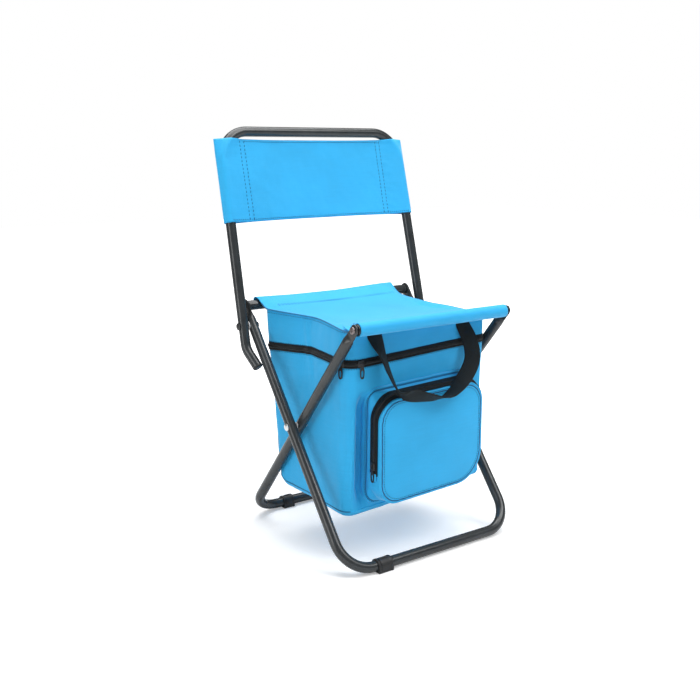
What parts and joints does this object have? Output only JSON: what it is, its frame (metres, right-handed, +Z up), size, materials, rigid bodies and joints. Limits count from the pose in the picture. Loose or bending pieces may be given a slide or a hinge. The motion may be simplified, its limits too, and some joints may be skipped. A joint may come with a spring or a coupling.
{
  "type": "folding cooler stool",
  "caption": "Folding tube-frame stool with a sling seat, a fold-down back rest and a zipped insulated bag with a front pocket under the seat.",
  "frame": {"origin": "centre of the bounding box, on the floor", "axes": "+Z up, front towards -Y, +X to the sitter's left"},
  "size_m": [0.3564, 0.3254, 0.5997],
  "materials": {
    "tube": "satin powder coat, near black",
    "bright_steel": "bright zinc",
    "white_nylon": "moulded nylon",
    "black_plastic": "fine moulded grain",
    "black_webbing": "woven polypropylene",
    "blue_cloth": "plain-weave oxford",
    "foil_liner": "foil on foam",
    "board": "plain board"
  },
  "bodies": {
    "outer_frame": {"back_pivot_rivet_left": "bright_steel", "back_pivot_rivet_right": "bright_steel", "back_pivot_washer_left": "white_nylon", "back_pivot_washer_right": "white_nylon", "bag_base_board": "board", "bag_body": "blue_cloth", "bag_liner": "foil_liner", "bag_top_band": "blue_cloth", "front_foot_clip": "black_plastic", "leg_pivot_rivet_left": "bright_steel", "leg_pivot_rivet_right": "bright_steel", "leg_pivot_washer_left": "white_nylon", "leg_pivot_washer_right": "white_nylon", "main_zip_tape": "black_webbing", "outer_leg_frame": "tube", "pocket_shell": "blue_cloth", "pocket_zip_tape": "black_webbing", "rear_rail_plug_left": "black_plastic", "rear_rail_plug_right": "black_plastic", "rear_rail_screw_left": "bright_steel", "rear_rail_screw_right": "bright_steel", "rear_seat_rail": "tube", "seat_panel": "blue_cloth"},
    "inner_frame": {"front_rail_plug_left": "black_plastic", "front_rail_plug_right": "black_plastic", "front_rail_screw_left": "bright_steel", "front_rail_screw_right": "bright_steel", "front_seat_rail": "tube", "inner_leg_frame": "tube", "rear_foot_clip": "black_plastic"},
    "back_rest": {"back_frame_tube": "tube", "back_panel": "blue_cloth", "back_tube_plug_left": "black_plastic", "back_tube_plug_right": "black_plastic"},
    "carry_strap": {"carry_strap": "black_webbing"},
    "side_slider": {"side_zip_slider": "black_plastic"},
    "side_pull": {"side_zip_pull": "black_plastic"},
    "front_slider": {"front_zip_slider": "black_plastic"},
    "front_pull": {"front_zip_pull": "black_plastic"},
    "pocket_slider": {"pocket_zip_slider": "black_plastic"},
    "pocket_pull": {"pocket_zip_pull": "black_plastic"}
  },
  "joints": [
    {"name": "leg_fold", "type": "hinge", "parent": "outer_frame", "child": "inner_frame", "pos_m": [0, -0.01579, 0.18258], "axis": [-1, 0, 0], "range_deg": [0, 70], "deforming": ["seat_panel"]},
    {"name": "back_fold", "type": "hinge", "parent": "outer_frame", "child": "back_rest", "pos_m": [0, 0.08677, 0.31306], "axis": [1, 0, 0], "range_deg": [0, 86]},
    {"name": "strap_swing", "type": "hinge", "parent": "outer_frame", "child": "carry_strap", "pos_m": [0, -0.11304, 0.32416], "axis": [1, 0, 0], "range_deg": [-65, 0]},
    {"name": "side_zip_slide", "type": "slide", "parent": "outer_frame", "child": "side_slider", "axis": [-0.035, -0.9994, 0], "range_m": [-0.115, 0]},
    {"name": "side_pull_lift", "type": "hinge", "parent": "side_slider", "child": "side_pull", "pos_m": [-0.12178, -0.08708, 0.28484], "axis": [-0.035, -0.9994, 0], "range_deg": [-15, 0]},
    {"name": "front_zip_slide", "type": "slide", "parent": "outer_frame", "child": "front_slider", "axis": [-0.9992, 0, -0.04], "range_m": [-0.2, 0]},
    {"name": "front_pull_lift", "type": "hinge", "parent": "front_slider", "child": "front_pull", "pos_m": [-0.1, -0.11469, 0.2856], "axis": [1, 0, 0], "range_deg": [-115, 0]},
    {"name": "pocket_zip_slide", "type": "slide", "parent": "outer_frame", "child": "pocket_slider", "axis": [0, 0, -1], "range_m": [-0.055, 0]},
    {"name": "pocket_pull_lift", "type": "hinge", "parent": "pocket_slider", "child": "pocket_pull", "pos_m": [-0.08815, -0.12434, 0.13919], "axis": [0, -1, 0], "range_deg": [-115, 0]}
  ]
}
